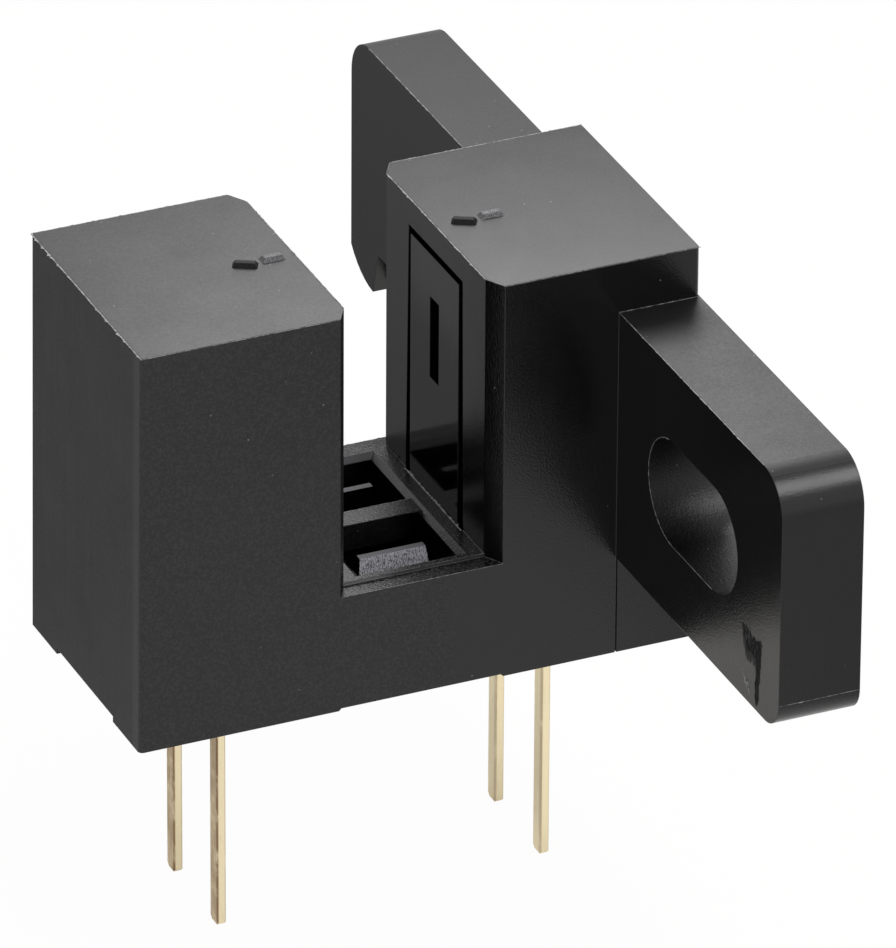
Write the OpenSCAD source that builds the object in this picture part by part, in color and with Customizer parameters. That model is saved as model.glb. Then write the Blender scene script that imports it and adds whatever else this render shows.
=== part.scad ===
// Slotted optical switch. A black moulded cover with two mounting ears stands over an inner holder.
// The holder carries an infrared lamp and a light sensor, which face each other across the slot.
// X runs along the light beam, from lamp to sensor. Y runs along the ears. Z points up from the board.
// The origin is on the board, under the middle of the slot. All sizes are in millimetres.

/* [Slot] */
// Clear width of the slot, along the beam
slot_w = 3.4; // [2.4:0.1:6]
// Height of the slot floor above the board
slot_floor_z = 2.98; // [2.7:0.02:4]
// Thickness of the slot floor
floor_t = 0.7; // [0.4:0.05:1]
// Size along the beam of the bevels at the slot's four upright mouth edges
mouth_x = 0.27; // [0.1:0.01:0.5]
// Size across the beam of those bevels
mouth_y = 0.46; // [0.2:0.01:0.8]

/* [Slot floor grid] */
// Width of the floor's rim beside each tower
rim_x = 0.37; // [0.25:0.01:0.6]
// Width of the floor's rim at the front and the rear
rim_y = 0.62; // [0.4:0.01:1]
// Bevel on the rim's inner edges
rim_bevel = 0.13; // [0.05:0.01:0.2]
// How far the floor's front and rear lips lie below its rim
lip_drop = 0.08; // [0.02:0.01:0.2]
// Width of the cross rib between the two floor windows
cross_rib_w = 0.6; // [0.3:0.05:1]
// How far the cross rib lies below the rim
cross_rib_drop = 0.05; // [0.02:0.01:0.3]

/* [Cover] */
// Wall at the two ends of the cover
end_wall = 0.8; // [0.5:0.05:1.5]
// Wall at the front and the rear of the cover
side_wall = 0.6; // [0.45:0.05:1.5]
// Thickness of the cover's roof over each tower
roof_t = 0.67; // [0.4:0.01:1.5]
// Wall of the cover between the slot and each tower's hollow
slot_wall = 0.7; // [0.35:0.05:0.8]
// Radius of the upright outer edges
edge_r = 0.12; // [0.05:0.01:0.3]
// How far the lamp end's face leans out from its top to its bottom, to leave the mould
end_draft = 0.11; // [0.02:0.01:0.3]
// Bevel along the top edges
top_bevel = 0.02; // [0.01:0.01:0.1]
// Play between the window and the holder's nose at the top of the window
window_gap_top = 0.16; // [0.08:0.01:0.3]
// Play between the window and the holder's nose at the bottom of the window
window_gap_bottom = 0.3; // [0.1:0.01:0.5]
// Depth of the notch in the floor's rim that clears the holder's nose
nose_notch = 0.05; // [0.05:0.01:0.15]

/* [Cover underside] */
// Height of the feet below the cover's bottom edge
foot_h = 0.06; // [0.03:0.01:0.3]
// Distance from the slot wall to the end of the feet
foot_setback = 0.3; // [0.1:0.02:1.5]
// Height of the vent notch in the lamp end's wall
vent_h = 0.14; // [0.08:0.01:0.19]
// Width of that notch
vent_w = 3.3; // [1:0.1:4.5]
// Width of the ledge inside the cover that the holder's base seats on
ledge_w = 0.2; // [0.12:0.01:0.3]
// Width of the mould's witness groove below the ears
witness_w = 0.04; // [0.02:0.01:0.1]
// Depth of that groove
witness_d = 0.05; // [0.01:0.01:0.1]

/* [Ears] */
// Thickness of the ears, along the beam
ear_t = 1.96; // [1.2:0.02:3]
// Height of the ears
ear_h = 6.22; // [4.6:0.02:7]
// Height of the ears' lower edge above the board
ear_z = 2.44; // [1:0.02:2.6]
// Radius of the ears' upper corners
ear_top_r = 1; // [0.3:0.05:1.8]
// Radius of the front ear's lower corner
ear_bottom_r = 0.7; // [0.3:0.05:1.8]
// Length along the ear of the flatter arc at the rear ear's lower corner
rear_arc_l = 1.38; // [0.4:0.02:1.6]
// Height of that arc, from the ear's lower edge up to the ear's end
rear_arc_h = 0.66; // [0.2:0.02:1]
// Distance between the two screw holes
hole_pitch = 14.4; // [13:0.1:20]
// Width of each oblong screw hole
hole_w = 2.6; // [1.6:0.1:3.2]
// Length of each oblong screw hole, end to end
hole_l = 4.7; // [3.4:0.1:6]
// Material between a screw hole and the ear's end
hole_margin = 2.23; // [1:0.01:4]

/* [Key notch] */
// Distance from the rear ear's end to the key notch in its inner face
key_margin = 1.28; // [1:0.02:2]
// Width of the notch at the ear's lower edge
key_w = 1.5; // [0.8:0.05:2]
// Height of the notch
key_h = 1.1; // [0.4:0.05:1.4]
// How far each side of the notch leans in from its bottom to its top
key_lean = 0.3; // [0.05:0.05:0.35]
// Depth of the notch into the ear
key_d = 0.45; // [0.1:0.05:1]

/* [Holder] */
// Play between the holder and the cover
holder_gap = 0.1; // [0.04:0.01:0.15]
// Height of the holder's base above the board
base_z = 0.2; // [0.2:0.02:0.5]
// Thickness of the holder's base
base_t = 1; // [0.6:0.05:1.3]
// Wall at the front and the rear of each cup
cup_side = 0.7; // [0.3:0.05:1.2]
// Wall at the outer end of each cup
cup_back = 0.7; // [0.3:0.05:1.5]
// Height of each cup above the top of the package in it
cup_rise = 0.17; // [0.05:0.01:0.5]
// Play between the top of a cup and the cover's roof
cup_roof_gap = 0.16; // [0.05:0.01:0.5]
// Width of the nose that shows in the cover's window
nose_w = 2.66; // [2.2:0.02:3.4]
// How far the nose stands out of the slot wall
nose_proud = 0.02; // [0:0.01:0.04]
// Thickness of the nose's wall at the slit
slit_wall = 0.64; // [0.4:0.01:1]
// Width of the light slit
slit_w = 0.5; // [0.2:0.05:1.2]
// Height of the light slit
slit_h = 2.05; // [0.8:0.05:3]
// Wall between a lead's channel and the hollow beside it
channel_wall = 0.35; // [0.2:0.05:0.6]
// Thickness of the floor under each package
cup_floor = 0.7; // [0.4:0.05:1.5]

/* [Holder ribs] */
// Length at the root of the stiffening ribs that stand under the floor windows
bar_l = 2; // [1:0.1:2.4]
// Width of each rib at its top
bar_top_w = 0.18; // [0.1:0.01:0.5]
// Width of each rib at its root
bar_root_w = 0.8; // [0.5:0.05:1]
// Distance between the two ribs
bar_pitch = 2.96; // [2.2:0.02:3.6]
// How far the ribs' tops lie below the slot floor
bar_drop = 0.2; // [0.05:0.01:0.5]
// How far each rib's end leans out from its top to its root
bar_draft = 0.2; // [0.05:0.01:0.4]

/* [Lamp and sensor packages] */
// Thickness of each package, along the beam
pkg_t = 2; // [1.4:0.05:3]
// Height of each package
pkg_h = 4.6; // [3.6:0.05:6]
// Height of each package's foot above the board
pkg_z = 4.3; // [3.6:0.05:5]
// Resin beside each outer lead
pkg_side = 0.205; // [0.1:0.005:0.6]
// Play between a package and its cup
pkg_gap = 0.1; // [0.04:0.01:0.3]
// Bevel on the upright edges of a package
pkg_bevel = 0.2; // [0.05:0.01:0.2]
// Depth of the lens axis below the top of a package
axis_drop = 1.9; // [1.5:0.05:2.4]
// Radius of the lens where it meets the package
lens_r = 0.85; // [0.6:0.05:1]
// Height of the lens dome
lens_sag = 0.6; // [0.3:0.05:0.8]
// Play between the lens and the slit wall
lens_gap = 0.08; // [0.04:0.01:0.4]

/* [Leads] */
// Distance between the two leads of a package
lead_pitch = 2.54; // [2.2:0.01:3]
// Width of a lead
lead_w = 0.45; // [0.3:0.01:0.6]
// Thickness of a lead
lead_t = 0.18; // [0.1:0.01:0.4]
// Length of a lead below the board face of the cover
lead_l = 6; // [2.5:0.1:15]
// Bevel at the lead's tip
tip_bevel = 0.08; // [0.02:0.01:0.12]
// Distance of the lamp's leads behind the front of their package
lamp_inset = 1.13; // [0.8:0.01:1.3]
// Distance of the sensor's leads behind the front of their package
sensor_inset = 0.84; // [0.8:0.01:1.3]
// Play between a lead and its channel in the holder
lead_gap = 0.1; // [0.04:0.01:0.15]

/* [Chips and wires] */
// Side of the square plate that carries a chip
plate_side = 0.9; // [0.7:0.05:1]
// Side of the lamp's chip
lamp_chip_w = 0.32; // [0.2:0.02:0.6]
// Side of the sensor's chip
sensor_chip_w = 0.6; // [0.3:0.02:0.68]
// Thickness of both chips
chip_t = 0.15; // [0.08:0.01:0.25]
// Diameter of the bond wires
wire_d = 0.04; // [0.02:0.01:0.08]
// Height of the post that a bond wire ends on
post_h = 0.4; // [0.3:0.05:0.6]
// Length by which the post reaches in from its lead
post_reach = 0.35; // [0.2:0.05:0.4]

/* [Hidden] */

// Facets of circles, where a view needs them
round_fn = 64;
// Overshoot of a cut past the face that it opens
cut = 0.5;

// Along the beam, from the middle of the slot outwards
slot_face_x = slot_w / 2;
nose_x = slot_face_x - nose_proud;
pocket_front_x = nose_x + slit_wall;
pkg_front_x = pocket_front_x + lens_gap + lens_sag;
pkg_back_x = pkg_front_x + pkg_t;
pocket_back_x = pkg_back_x + pkg_gap;
cup_back_x = pocket_back_x + cup_back;
hollow_x = cup_back_x + holder_gap;
body_x = hollow_x + end_wall;
ear_x = body_x - ear_t;
foot_end_x = slot_face_x + foot_setback;
hollow_front_x = slot_face_x + slot_wall;

// Across the beam, from the middle plane outwards
lead_y = lead_pitch / 2;
pkg_y = lead_y + lead_w / 2 + pkg_side;
pocket_y = pkg_y + pkg_gap;
cup_y = pocket_y + cup_side;
hollow_y = cup_y + holder_gap;
body_y = hollow_y + side_wall;
ear_y = (hole_pitch + hole_l) / 2 + hole_margin;

// Up from the board
base_top = base_z + base_t;
pkg_top = pkg_z + pkg_h;
axis_z = pkg_top - axis_drop;
cup_top = pkg_top + cup_rise;
roof_z = cup_top + cup_roof_gap;
body_h = roof_z + roof_t;
floor_under_z = slot_floor_z - floor_t;
core_top = pkg_z - cup_floor;
ear_top = ear_z + ear_h;

// The ledge that the holder's base seats on
seat_x = hollow_x + ledge_w;
seat_y = hollow_y + ledge_w;

// Floor windows, at the foot of their bevels
opening_x = slot_face_x - rim_x - rim_bevel;
opening_y = body_y - rim_y - rim_bevel;

// Lens sphere, from the dome's base radius and height
lens_sphere_r = (lens_r * lens_r + lens_sag * lens_sag) / (2 * lens_sag);

// Where a bond wire ends on its post, and the wire's span from chip to post
post_y = lead_y - lead_w / 2 - post_reach / 2;
post_z = axis_z + plate_side / 2 + post_h / 2;
wire_angle = atan2(post_z - axis_z, post_y);
wire_span = norm([post_y, post_z - axis_z]);

cover_colour = "#26272a";
holder_colour = "#17181a";
lamp_colour = "#b4bfd0";
sensor_colour = "#33262b";
lead_colour = "#d9c795";
chip_colour = "#6d6f78";
wire_colour = "#e2b84a";

// Face of a package's leads towards the slot, from the leads' distance behind the package's front
function lead_face(inset) = pkg_front_x + inset - lead_t / 2;

// Draws its children at both ends of the beam
module both_ends() {
    children();
    mirror([1, 0, 0]) children();
}

// Draws its children at the lamp's end, which is the -X one
module lamp_end() {
    mirror([1, 0, 0]) children();
}

// Draws its children at the front and at the rear
module both_sides() {
    children();
    mirror([0, 1, 0]) children();
}

// Turns a Y-Z outline into a bar along the beam, between two places on X
module along_beam(from, to) {
    translate([from, 0, 0])
        rotate([90, 0, 90])
            linear_extrude(to - from) children();
}

// Turns an X-Z outline into a bar across the beam, centred on the middle plane
module across_beam(width) {
    translate([0, width / 2, 0])
        rotate([90, 0, 0])
            linear_extrude(width) children();
}

// A box given by its lowest and highest corners
module block(low, high) {
    translate(low) cube(high - low);
}

// A rectangle given by its lowest and highest corners
module panel(low, high) {
    translate(low) square(high - low);
}

// What a rounded corner takes off a square one; the corner is at the origin, the material lies in +X +Y
module corner_waste(r) {
    difference() {
        translate([-cut, -cut]) square(r + cut);
        translate([r, r]) circle(r, $fn = round_fn);
    }
}

// A box outline seen from one side, with a bevel on its two top corners and a lean on its low side
module bevelled_elevation(half, lean) {
    polygon([
        [-half - lean, 0],
        [half, 0],
        [half, body_h - top_bevel],
        [half - top_bevel, body_h],
        [top_bevel - half, body_h],
        [-half - lean * top_bevel / body_h, body_h - top_bevel]
    ]);
}

// What is taken off an upright edge that leans in by a given distance over the cover's height
module edge_waste(lean) {
    rotate([0, atan2(lean, body_h), 0])
        translate([0, 0, -cut])
            linear_extrude(body_h + 2 * cut) corner_waste(edge_r);
}

// The cover's block, with its outer top edges bevelled and its upright edges rounded
module body_block() {
    difference() {
        intersection() {
            across_beam(2 * body_y) bevelled_elevation(body_x, end_draft);
            along_beam(-body_x - end_draft, body_x) bevelled_elevation(body_y, 0);
        }
        both_sides() {
            translate([-body_x - end_draft, -body_y, 0]) edge_waste(end_draft);
            translate([body_x, -body_y, 0]) mirror([1, 0, 0]) edge_waste(0);
        }
    }
}

// The oblong of a screw hole, long side across the beam
module oblong() {
    straight = (hole_l - hole_w) / 2;
    panel([-straight, -hole_w / 2], [straight, hole_w / 2]);
    both_ends()
        translate([straight, 0]) circle(d = hole_w, $fn = round_fn);
}

// What the rear ear's lower corner loses: an arc that meets the ear's end at an angle
module rear_arc_waste() {
    r = (rear_arc_l * rear_arc_l + rear_arc_h * rear_arc_h) / (2 * rear_arc_h);
    difference() {
        translate([-cut, -cut]) square([rear_arc_l + cut, rear_arc_h + cut]);
        translate([rear_arc_l, r]) circle(r, $fn = round_fn);
    }
}

// Outline of both ears, seen along the beam
module ear_outline() {
    difference() {
        panel([-ear_y, ear_z], [ear_y, ear_top]);
        translate([-ear_y, ear_z]) corner_waste(ear_bottom_r);
        translate([ear_y, ear_z]) mirror([1, 0]) rear_arc_waste();
        both_ends() {
            translate([-ear_y, ear_top]) mirror([0, 1]) corner_waste(ear_top_r);
            translate([hole_pitch / 2, (ear_z + ear_top) / 2]) oblong();
        }
    }
}

// The tapering notch low in the rear ear's inner face, which keys the switch to its bracket
module key_notch() {
    lean_below = key_lean * cut / key_h;
    along_beam(ear_x - cut, ear_x + key_d)
        translate([ear_y - key_margin, ear_z])
            polygon([
                [lean_below, -cut],
                [-key_lean, key_h],
                [key_lean - key_w, key_h],
                [-key_w - lean_below, -cut]
            ]);
}

// Both ears as one plate that runs through the cover's sensor end
module ear_plate() {
    difference() {
        along_beam(ear_x, body_x) ear_outline();
        key_notch();
    }
}

// Outline of the slot seen from above, with its four bevelled mouth edges
module slot_plan() {
    both_sides()
        polygon([
            [-slot_face_x, 0],
            [-slot_face_x, body_y - mouth_y],
            [-slot_face_x - mouth_x, body_y],
            [-slot_face_x - mouth_x, body_y + cut],
            [slot_face_x + mouth_x, body_y + cut],
            [slot_face_x + mouth_x, body_y],
            [slot_face_x, body_y - mouth_y],
            [slot_face_x, 0]
        ]);
}

// What the slot floor's lips lose, from one mouth bevel to the other at the front and the rear
module lip_waste() {
    intersection() {
        translate([0, 0, slot_floor_z - lip_drop]) linear_extrude(body_h) slot_plan();
        both_sides()
            block([-body_x, body_y - mouth_y, 0], [body_x, body_y + cut, slot_floor_z + lip_drop]);
    }
}

// The slot between the towers
module slot_space() {
    translate([0, 0, slot_floor_z]) linear_extrude(body_h) slot_plan();
    lip_waste();
    across_beam(2 * (body_y + cut))
        polygon([
            [-slot_face_x, body_h - top_bevel],
            [slot_face_x, body_h - top_bevel],
            [slot_face_x + top_bevel + cut, body_h + cut],
            [-slot_face_x - top_bevel - cut, body_h + cut]
        ]);
}

// The hollow of one tower, with the tapering window that opens it towards the slot
module tower_hollow() {
    block([hollow_front_x, -hollow_y, base_top], [hollow_x, hollow_y, roof_z]);
    along_beam(slot_face_x - nose_notch, hollow_front_x + cut)
        polygon([
            [-nose_w / 2 - window_gap_bottom, base_top],
            [nose_w / 2 + window_gap_bottom, base_top],
            [nose_w / 2 + window_gap_top, roof_z],
            [-nose_w / 2 - window_gap_top, roof_z]
        ]);
}

// The space under the slot floor, and the seat of the holder's base below it
module base_hollow() {
    block([-hollow_x, -hollow_y, base_top - cut], [hollow_x, hollow_y, floor_under_z]);
    block([-seat_x, -seat_y, -cut], [seat_x, seat_y, base_top]);
}

// A bevel-edged cut in the slot floor, before the cross rib is put back
module floor_opening() {
    block([-opening_x, -opening_y, floor_under_z - cut], [opening_x, opening_y, slot_floor_z]);
    intersection() {
        across_beam(2 * body_y) opening_flare(opening_x);
        along_beam(-body_x, body_x) opening_flare(opening_y);
    }
}

// Section of the floor opening's bevelled upper edge; it rises out of the rim but stays inside it
module opening_flare(half) {
    rise = rim_x / 2;
    flare = rim_bevel + rise;
    polygon([
        [-half, slot_floor_z - rim_bevel],
        [half, slot_floor_z - rim_bevel],
        [half + flare, slot_floor_z + rise],
        [-half - flare, slot_floor_z + rise]
    ]);
}

// The rib across the floor opening, which parts it into a front and a rear window
module cross_rib() {
    block(
        [-opening_x - rim_bevel, -cross_rib_w / 2, floor_under_z],
        [opening_x + rim_bevel, cross_rib_w / 2, slot_floor_z - cross_rib_drop]
    );
}

// What is taken off low down: the relief between the feet, the vent notch and the witness grooves
module underside_relief() {
    across_beam(2 * (body_y + cut))
        polygon([
            [-foot_end_x - cut, -cut],
            [foot_end_x + cut, -cut],
            [foot_end_x - foot_h, foot_h],
            [-foot_end_x + foot_h, foot_h]
        ]);
    block([-body_x - cut, -vent_w / 2, -cut], [-hollow_x, vent_w / 2, vent_h]);
    both_sides()
        block([ear_x, body_y - witness_d, -cut], [ear_x + witness_w, body_y + cut, ear_z]);
}

// The moulded cover: two hollow towers, the slot floor's grid and the two ears
module cover() {
    color(cover_colour) {
        difference() {
            union() {
                body_block();
                ear_plate();
            }
            slot_space();
            both_ends() tower_hollow();
            base_hollow();
            floor_opening();
            underside_relief();
        }
        cross_rib();
    }
}

// One cup of the holder as a solid, with its nose towards the slot
module cup_solid() {
    block([hollow_front_x + holder_gap, -cup_y, base_z], [cup_back_x, cup_y, cup_top]);
    block([nose_x, -nose_w / 2, base_z], [hollow_front_x + holder_gap, nose_w / 2, cup_top]);
}

// What is cut out of one cup: the package's pocket, the slit, the leads' channels and the hollow below
module cup_space(inset) {
    channel_y = lead_w / 2 + lead_gap;
    core_y = lead_y - channel_y - channel_wall;
    lens_y = lens_r + lens_gap;
    block([pkg_front_x - pkg_gap, -pocket_y, pkg_z], [pocket_back_x, pocket_y, cup_top + cut]);
    block([pocket_front_x, -lens_y, pkg_z], [pkg_front_x, lens_y, cup_top + cut]);
    block(
        [nose_x - cut, -slit_w / 2, axis_z - slit_h / 2],
        [pocket_front_x + cut, slit_w / 2, axis_z + slit_h / 2]
    );
    both_sides()
        block(
            [lead_face(inset) - lead_gap, lead_y - channel_y, base_z - cut],
            [lead_face(inset) + lead_t + lead_gap, lead_y + channel_y, pkg_z + cut]
        );
    block([pkg_front_x, -core_y, base_z - cut], [pkg_back_x, core_y, core_top]);
}

// The tapered ribs on the base that show through the floor windows
module base_bars() {
    both_sides()
        intersection() {
            along_beam(-body_x, body_x)
                translate([bar_pitch / 2, 0]) bar_outline(bar_root_w, bar_top_w);
            across_beam(2 * body_y) bar_outline(bar_l, bar_l - 2 * bar_draft);
        }
}

// A rib seen from one side: upright in the base, then tapering to its top
module bar_outline(root, top) {
    polygon([
        [-root / 2, base_z],
        [root / 2, base_z],
        [root / 2, base_top],
        [top / 2, slot_floor_z - bar_drop],
        [-top / 2, slot_floor_z - bar_drop],
        [-root / 2, base_top]
    ]);
}

// The inner moulding: a base that closes the cover and two cups with a light slit each
module holder() {
    base_x = seat_x - holder_gap;
    base_y = seat_y - holder_gap;
    color(holder_colour) {
        difference() {
            union() {
                block([-base_x, -base_y, base_z], [base_x, base_y, base_top]);
                both_ends() cup_solid();
            }
            cup_space(sensor_inset);
            lamp_end() cup_space(lamp_inset);
        }
        base_bars();
    }
}

// The lead that carries the chip: a shank, and a square plate on the lens axis
module plate_lead(inset) {
    lead_bar(inset, [
        [[lead_y - lead_w / 2, -lead_l], [lead_y + lead_w / 2, axis_z]],
        [[-plate_side / 2, axis_z - plate_side / 2], [lead_y + lead_w / 2, axis_z + plate_side / 2]]
    ]);
}

// The lead that the bond wire ends on: a shank with a short post at its head
module post_lead(inset) {
    top = axis_z + plate_side / 2 + post_h;
    mirror([0, 1, 0])
        lead_bar(inset, [
            [[lead_y - lead_w / 2, -lead_l], [lead_y + lead_w / 2, top]],
            [[lead_y - lead_w / 2 - post_reach, top - post_h], [lead_y, top]]
        ]);
}

// A flat lead stamped from strip: rectangles joined in one plane, with a bevelled tip
module lead_bar(inset, rectangles) {
    along_beam(lead_face(inset), lead_face(inset) + lead_t)
        difference() {
            for (r = rectangles)
                panel(r[0], r[1]);
            translate([lead_y, -lead_l])
                both_ends()
                    polygon([
                        [lead_w / 2 - tip_bevel, 0],
                        [lead_w / 2 - tip_bevel, -cut],
                        [lead_w / 2 + cut, -cut],
                        [lead_w / 2 + cut, tip_bevel + cut]
                    ]);
        }
}

// A chip on the plate's face, square to the lens axis
module chip(side, inset) {
    block(
        [lead_face(inset) - chip_t, -side / 2, axis_z - side / 2],
        [lead_face(inset), side / 2, axis_z + side / 2]
    );
}

// A bond wire: a half round arch from the chip's face, then a straight drop to the post
module bond_wire(inset) {
    translate([lead_face(inset) - chip_t, 0, axis_z])
        rotate([180 - wire_angle, 0, 0])
            translate([0, wire_span / 2, 0])
                rotate([0, 0, 90]) {
                    rotate_extrude(angle = 180, $fn = round_fn)
                        translate([wire_span / 2, 0]) circle(d = wire_d, $fn = round_fn);
                    translate([wire_span / 2, 0, 0])
                        rotate([90, 0, 0]) cylinder(h = chip_t, d = wire_d, $fn = round_fn);
                }
}

// The moulded resin of one package, lens towards the slot, with room for what is cast into it
module package(chip_side, inset) {
    difference() {
        union() {
            translate([0, 0, pkg_z])
                linear_extrude(pkg_h)
                    polygon([
                        [pkg_front_x, pkg_y - pkg_bevel],
                        [pkg_front_x + pkg_bevel, pkg_y],
                        [pkg_back_x - pkg_bevel, pkg_y],
                        [pkg_back_x, pkg_y - pkg_bevel],
                        [pkg_back_x, pkg_bevel - pkg_y],
                        [pkg_back_x - pkg_bevel, -pkg_y],
                        [pkg_front_x + pkg_bevel, -pkg_y],
                        [pkg_front_x, pkg_bevel - pkg_y]
                    ]);
            intersection() {
                translate([pkg_front_x - lens_sag + lens_sphere_r, 0, axis_z])
                    sphere(lens_sphere_r, $fn = round_fn);
                block(
                    [pkg_front_x - lens_sag - cut, -pkg_y, axis_z - lens_r - cut],
                    [pkg_front_x + pkg_bevel, pkg_y, axis_z + lens_r + cut]
                );
            }
        }
        plate_lead(inset);
        post_lead(inset);
        chip(chip_side, inset);
        bond_wire(inset);
    }
}

module lamp_package() {
    color(lamp_colour) lamp_end() package(lamp_chip_w, lamp_inset);
}

module sensor_package() {
    color(sensor_colour) package(sensor_chip_w, sensor_inset);
}

module lamp_anode_lead() {
    color(lead_colour) lamp_end() post_lead(lamp_inset);
}

module lamp_cathode_lead() {
    color(lead_colour) lamp_end() plate_lead(lamp_inset);
}

module sensor_collector_lead() {
    color(lead_colour) plate_lead(sensor_inset);
}

module sensor_emitter_lead() {
    color(lead_colour) post_lead(sensor_inset);
}

module lamp_chip() {
    color(chip_colour) lamp_end() chip(lamp_chip_w, lamp_inset);
}

module sensor_chip() {
    color(chip_colour) chip(sensor_chip_w, sensor_inset);
}

module lamp_wire() {
    color(wire_colour) lamp_end() bond_wire(lamp_inset);
}

module sensor_wire() {
    color(wire_colour) bond_wire(sensor_inset);
}

cover();
holder();
lamp_package();
sensor_package();
lamp_anode_lead();
lamp_cathode_lead();
sensor_collector_lead();
sensor_emitter_lead();
lamp_chip();
sensor_chip();
lamp_wire();
sensor_wire();
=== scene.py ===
"""Slotted optical switch: finishes of its mouldings and leads, its moulded marks and a plain studio."""

import math
import random

import bmesh
import bpy
from mathutils import Matrix, Vector


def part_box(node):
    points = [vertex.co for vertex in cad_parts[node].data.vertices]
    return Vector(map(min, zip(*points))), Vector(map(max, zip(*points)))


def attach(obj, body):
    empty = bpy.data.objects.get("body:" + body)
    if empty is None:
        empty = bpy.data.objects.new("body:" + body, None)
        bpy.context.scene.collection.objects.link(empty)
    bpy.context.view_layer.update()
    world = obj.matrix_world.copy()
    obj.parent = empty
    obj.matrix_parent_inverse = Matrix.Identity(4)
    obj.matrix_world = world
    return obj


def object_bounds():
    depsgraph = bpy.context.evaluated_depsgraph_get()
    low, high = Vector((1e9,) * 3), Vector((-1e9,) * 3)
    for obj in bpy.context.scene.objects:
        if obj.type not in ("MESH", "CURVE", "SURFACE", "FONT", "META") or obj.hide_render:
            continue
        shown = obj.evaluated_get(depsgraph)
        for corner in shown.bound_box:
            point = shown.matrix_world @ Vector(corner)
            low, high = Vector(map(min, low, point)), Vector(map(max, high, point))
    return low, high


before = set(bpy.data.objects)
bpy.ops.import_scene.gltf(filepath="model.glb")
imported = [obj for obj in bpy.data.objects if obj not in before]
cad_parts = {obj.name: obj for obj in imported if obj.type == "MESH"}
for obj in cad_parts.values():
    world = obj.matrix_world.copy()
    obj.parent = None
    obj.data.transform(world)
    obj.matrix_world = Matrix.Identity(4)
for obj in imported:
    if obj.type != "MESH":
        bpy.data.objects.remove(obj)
CAD_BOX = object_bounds()

bl_info = {
    "name": "Slotted optical switch",
    "version": (1, 0, 0),
    "blender": (4, 5, 0),
    "location": "View3D > Sidebar > Switch",
    "description": "Dresses a slotted optical switch and sets it in a plain studio",
    "category": "Object",
}

MM = 0.001
BODY = "root"
HOLE_MARGIN = 0.05 * MM

COVER_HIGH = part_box("cover")[1]
LEADS = ("lamp_anode_lead", "lamp_cathode_lead", "sensor_collector_lead", "sensor_emitter_lead")
LEAD_TIP_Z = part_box(LEADS[0])[0].z


def length(name, description, millimetres):
    """A length property, given in millimetres and kept in metres."""
    return bpy.props.FloatProperty(
        name=name, description=description, default=millimetres * MM, unit="LENGTH", precision=6
    )


def spot(name, description, millimetres):
    """A place in space, given in millimetres and kept in metres."""
    return bpy.props.FloatVectorProperty(
        name=name, description=description, default=[part * MM for part in millimetres], subtype="TRANSLATION"
    )


def share(name, description, default):
    """A property between 0 and 1."""
    return bpy.props.FloatProperty(
        name=name, description=description, default=default, min=0, max=1, subtype="FACTOR"
    )


def level(name, description, default):
    """A plain number that isn't negative."""
    return bpy.props.FloatProperty(name=name, description=description, default=default, min=0)


def colour(name, description, default):
    """A colour, written as linear red, green and blue."""
    return bpy.props.FloatVectorProperty(
        name=name, description=description, default=default, size=3, min=0, max=1, subtype="COLOR"
    )


def angle(name, description, degrees):
    """An angle property, given in degrees and kept in radians."""
    return bpy.props.FloatProperty(
        name=name, description=description, default=math.radians(degrees), subtype="ANGLE"
    )


class SwitchCoverSettings(bpy.types.PropertyGroup):
    """Finish of the moulded cover."""

    plastic: colour("Plastic", "Colour of the black plastic", (0.0006, 0.0006, 0.0008))
    plastic_pale: colour("Pale plastic", "Colour of the flecks in the plastic", (0.0115, 0.0115, 0.0128))
    # This colour also paints the highlight on the slot floor's front-facing lips and rear slope.
    speck_and_ledge_sheen: colour("Specks", "Colour of the pale specks in the plastic", (0.24, 0.24, 0.25))
    lamp_roughness: share("Lamp end roughness", "Roughness of the lamp tower's sides", 0.44)
    sensor_roughness: share("Sensor end roughness", "Roughness of the sensor tower's sides and ears", 0.22)
    top_roughness: share("Top roughness", "Roughness of the towers' and ears' tops", 0.43)
    top_slope: share("Top slope", "Growth of the towers' top roughness for each mm to the rear", 0.008)
    floor_roughness: share("Floor roughness", "Roughness of the slot floor's grid", 0.26)
    # Besides the slot floor's scuffs, this colour paints the highlight along the lamp end's front edge.
    scuff: colour("Scuffs", "Colour of the slot floor's scuffs and of worn edges", (0.09, 0.09, 0.092))
    bore_roughness: share("Hole roughness", "Roughness inside the ears' holes", 0.37)
    grain: length("Grain", "Size of the mould's spark grain", 0.045)
    grain_depth: length("Grain depth", "Depth of that grain", 0.005)
    edge: length("Edge", "Radius of the moulded edges", 0.03)


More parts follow.
